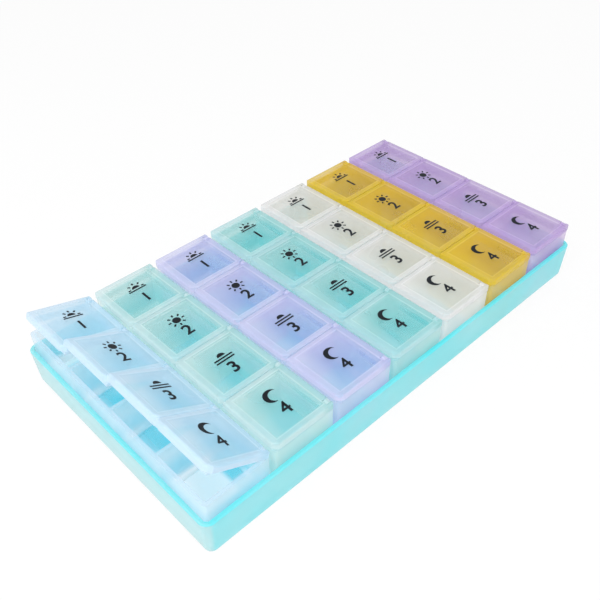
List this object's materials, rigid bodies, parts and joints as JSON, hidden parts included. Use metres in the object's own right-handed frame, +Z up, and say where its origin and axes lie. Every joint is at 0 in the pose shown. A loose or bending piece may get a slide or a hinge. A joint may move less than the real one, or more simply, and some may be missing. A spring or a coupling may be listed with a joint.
{
  "type": "weekly pill box",
  "caption": "Open tray holding a row of lift-out pill strips, each with a row of compartments under hinged lids.",
  "frame": {"origin": "middle of the tray's underside", "axes": "+X along the row of strips, from the first day to the last; +Y along one strip, away from the lids' cut corners; +Z up"},
  "size_m": [0.22, 0.1186, 0.0429],
  "materials": {
    "turquoise": "see-through turquoise moulded plastic, smooth",
    "sky": "see-through light blue moulded polypropylene",
    "mint": "see-through mint moulded polypropylene",
    "lavender": "see-through lavender moulded polypropylene",
    "aqua": "see-through aqua moulded polypropylene",
    "clear": "frosted clear moulded polypropylene",
    "amber": "see-through amber moulded polypropylene",
    "violet": "see-through violet moulded polypropylene"
  },
  "bodies": {
    "tray": {"tray": "turquoise"},
    "strip_1": {"strip_1": "sky"},
    "lid_1_1": {"lid_1_1": "sky"},
    "lid_1_2": {"lid_1_2": "sky"},
    "lid_1_3": {"lid_1_3": "sky"},
    "lid_1_4": {"lid_1_4": "sky"},
    "strip_2": {"strip_2": "mint"},
    "lid_2_1": {"lid_2_1": "mint"},
    "lid_2_2": {"lid_2_2": "mint"},
    "lid_2_3": {"lid_2_3": "mint"},
    "lid_2_4": {"lid_2_4": "mint"},
    "strip_3": {"strip_3": "lavender"},
    "lid_3_1": {"lid_3_1": "lavender"},
    "lid_3_2": {"lid_3_2": "lavender"},
    "lid_3_3": {"lid_3_3": "lavender"},
    "lid_3_4": {"lid_3_4": "lavender"},
    "strip_4": {"strip_4": "aqua"},
    "lid_4_1": {"lid_4_1": "aqua"},
    "lid_4_2": {"lid_4_2": "aqua"},
    "lid_4_3": {"lid_4_3": "aqua"},
    "lid_4_4": {"lid_4_4": "aqua"},
    "strip_5": {"strip_5": "clear"},
    "lid_5_1": {"lid_5_1": "clear"},
    "lid_5_2": {"lid_5_2": "clear"},
    "lid_5_3": {"lid_5_3": "clear"},
    "lid_5_4": {"lid_5_4": "clear"},
    "strip_6": {"strip_6": "amber"},
    "lid_6_1": {"lid_6_1": "amber"},
    "lid_6_2": {"lid_6_2": "amber"},
    "lid_6_3": {"lid_6_3": "amber"},
    "lid_6_4": {"lid_6_4": "amber"},
    "strip_7": {"strip_7": "violet"},
    "lid_7_1": {"lid_7_1": "violet"},
    "lid_7_2": {"lid_7_2": "violet"},
    "lid_7_3": {"lid_7_3": "violet"},
    "lid_7_4": {"lid_7_4": "violet"}
  },
  "joints": [
    {"name": "strip_1_lift", "type": "slide", "parent": "tray", "child": "strip_1", "axis": [0, 0, 1], "range_m": [0, 0.03]},
    {"name": "lid_1_1_hinge", "type": "hinge", "parent": "strip_1", "child": "lid_1_1", "pos_m": [-0.0802, 0.0429, 0.0282], "axis": [0, 1, 0], "range_deg": [-16, 94]},
    {"name": "lid_1_2_hinge", "type": "hinge", "parent": "strip_1", "child": "lid_1_2", "pos_m": [-0.0802, 0.0143, 0.0282], "axis": [0, 1, 0], "range_deg": [-25, 85]},
    {"name": "lid_1_3_hinge", "type": "hinge", "parent": "strip_1", "child": "lid_1_3", "pos_m": [-0.0802, -0.0143, 0.0282], "axis": [0, 1, 0], "range_deg": [-30, 80]},
    {"name": "lid_1_4_hinge", "type": "hinge", "parent": "strip_1", "child": "lid_1_4", "pos_m": [-0.0802, -0.0429, 0.0282], "axis": [0, 1, 0], "range_deg": [-30, 80]},
    {"name": "strip_2_lift", "type": "slide", "parent": "tray", "child": "strip_2", "axis": [0, 0, 1], "range_m": [0, 0.03]},
    {"name": "lid_2_1_hinge", "type": "hinge", "parent": "strip_2", "child": "lid_2_1", "pos_m": [-0.0491, 0.0429, 0.0282], "axis": [0, 1, 0], "range_deg": [0, 110]},
    {"name": "lid_2_2_hinge", "type": "hinge", "parent": "strip_2", "child": "lid_2_2", "pos_m": [-0.0491, 0.0143, 0.0282], "axis": [0, 1, 0], "range_deg": [0, 110]},
    {"name": "lid_2_3_hinge", "type": "hinge", "parent": "strip_2", "child": "lid_2_3", "pos_m": [-0.0491, -0.0143, 0.0282], "axis": [0, 1, 0], "range_deg": [0, 110]},
    {"name": "lid_2_4_hinge", "type": "hinge", "parent": "strip_2", "child": "lid_2_4", "pos_m": [-0.0491, -0.0429, 0.0282], "axis": [0, 1, 0], "range_deg": [0, 110]},
    {"name": "strip_3_lift", "type": "slide", "parent": "tray", "child": "strip_3", "axis": [0, 0, 1], "range_m": [0, 0.03]},
    {"name": "lid_3_1_hinge", "type": "hinge", "parent": "strip_3", "child": "lid_3_1", "pos_m": [-0.018, 0.0429, 0.0282], "axis": [0, 1, 0], "range_deg": [0, 110]},
    {"name": "lid_3_2_hinge", "type": "hinge", "parent": "strip_3", "child": "lid_3_2", "pos_m": [-0.018, 0.0143, 0.0282], "axis": [0, 1, 0], "range_deg": [0, 110]},
    {"name": "lid_3_3_hinge", "type": "hinge", "parent": "strip_3", "child": "lid_3_3", "pos_m": [-0.018, -0.0143, 0.0282], "axis": [0, 1, 0], "range_deg": [0, 110]},
    {"name": "lid_3_4_hinge", "type": "hinge", "parent": "strip_3", "child": "lid_3_4", "pos_m": [-0.018, -0.0429, 0.0282], "axis": [0, 1, 0], "range_deg": [0, 110]},
    {"name": "strip_4_lift", "type": "slide", "parent": "tray", "child": "strip_4", "axis": [0, 0, 1], "range_m": [0, 0.03]},
    {"name": "lid_4_1_hinge", "type": "hinge", "parent": "strip_4", "child": "lid_4_1", "pos_m": [0.0131, 0.0429, 0.0282], "axis": [0, 1, 0], "range_deg": [0, 110]},
    {"name": "lid_4_2_hinge", "type": "hinge", "parent": "strip_4", "child": "lid_4_2", "pos_m": [0.0131, 0.0143, 0.0282], "axis": [0, 1, 0], "range_deg": [0, 110]},
    {"name": "lid_4_3_hinge", "type": "hinge", "parent": "strip_4", "child": "lid_4_3", "pos_m": [0.0131, -0.0143, 0.0282], "axis": [0, 1, 0], "range_deg": [0, 110]},
    {"name": "lid_4_4_hinge", "type": "hinge", "parent": "strip_4", "child": "lid_4_4", "pos_m": [0.0131, -0.0429, 0.0282], "axis": [0, 1, 0], "range_deg": [0, 110]},
    {"name": "strip_5_lift", "type": "slide", "parent": "tray", "child": "strip_5", "axis": [0, 0, 1], "range_m": [0, 0.03]},
    {"name": "lid_5_1_hinge", "type": "hinge", "parent": "strip_5", "child": "lid_5_1", "pos_m": [0.0442, 0.0429, 0.0282], "axis": [0, 1, 0], "range_deg": [0, 110]},
    {"name": "lid_5_2_hinge", "type": "hinge", "parent": "strip_5", "child": "lid_5_2", "pos_m": [0.0442, 0.0143, 0.0282], "axis": [0, 1, 0], "range_deg": [0, 110]},
    {"name": "lid_5_3_hinge", "type": "hinge", "parent": "strip_5", "child": "lid_5_3", "pos_m": [0.0442, -0.0143, 0.0282], "axis": [0, 1, 0], "range_deg": [0, 110]},
    {"name": "lid_5_4_hinge", "type": "hinge", "parent": "strip_5", "child": "lid_5_4", "pos_m": [0.0442, -0.0429, 0.0282], "axis": [0, 1, 0], "range_deg": [0, 110]},
    {"name": "strip_6_lift", "type": "slide", "parent": "tray", "child": "strip_6", "axis": [0, 0, 1], "range_m": [0, 0.03]},
    {"name": "lid_6_1_hinge", "type": "hinge", "parent": "strip_6", "child": "lid_6_1", "pos_m": [0.0753, 0.0429, 0.0282], "axis": [0, 1, 0], "range_deg": [0, 110]},
    {"name": "lid_6_2_hinge", "type": "hinge", "parent": "strip_6", "child": "lid_6_2", "pos_m": [0.0753, 0.0143, 0.0282], "axis": [0, 1, 0], "range_deg": [0, 110]},
    {"name": "lid_6_3_hinge", "type": "hinge", "parent": "strip_6", "child": "lid_6_3", "pos_m": [0.0753, -0.0143, 0.0282], "axis": [0, 1, 0], "range_deg": [0, 110]},
    {"name": "lid_6_4_hinge", "type": "hinge", "parent": "strip_6", "child": "lid_6_4", "pos_m": [0.0753, -0.0429, 0.0282], "axis": [0, 1, 0], "range_deg": [0, 110]},
    {"name": "strip_7_lift", "type": "slide", "parent": "tray", "child": "strip_7", "axis": [0, 0, 1], "range_m": [0, 0.03]},
    {"name": "lid_7_1_hinge", "type": "hinge", "parent": "strip_7", "child": "lid_7_1", "pos_m": [0.1064, 0.0429, 0.0282], "axis": [0, 1, 0], "range_deg": [0, 110]},
    {"name": "lid_7_2_hinge", "type": "hinge", "parent": "strip_7", "child": "lid_7_2", "pos_m": [0.1064, 0.0143, 0.0282], "axis": [0, 1, 0], "range_deg": [0, 110]},
    {"name": "lid_7_3_hinge", "type": "hinge", "parent": "strip_7", "child": "lid_7_3", "pos_m": [0.1064, -0.0143, 0.0282], "axis": [0, 1, 0], "range_deg": [0, 110]},
    {"name": "lid_7_4_hinge", "type": "hinge", "parent": "strip_7", "child": "lid_7_4", "pos_m": [0.1064, -0.0429, 0.0282], "axis": [0, 1, 0], "range_deg": [0, 110]}
  ]
}
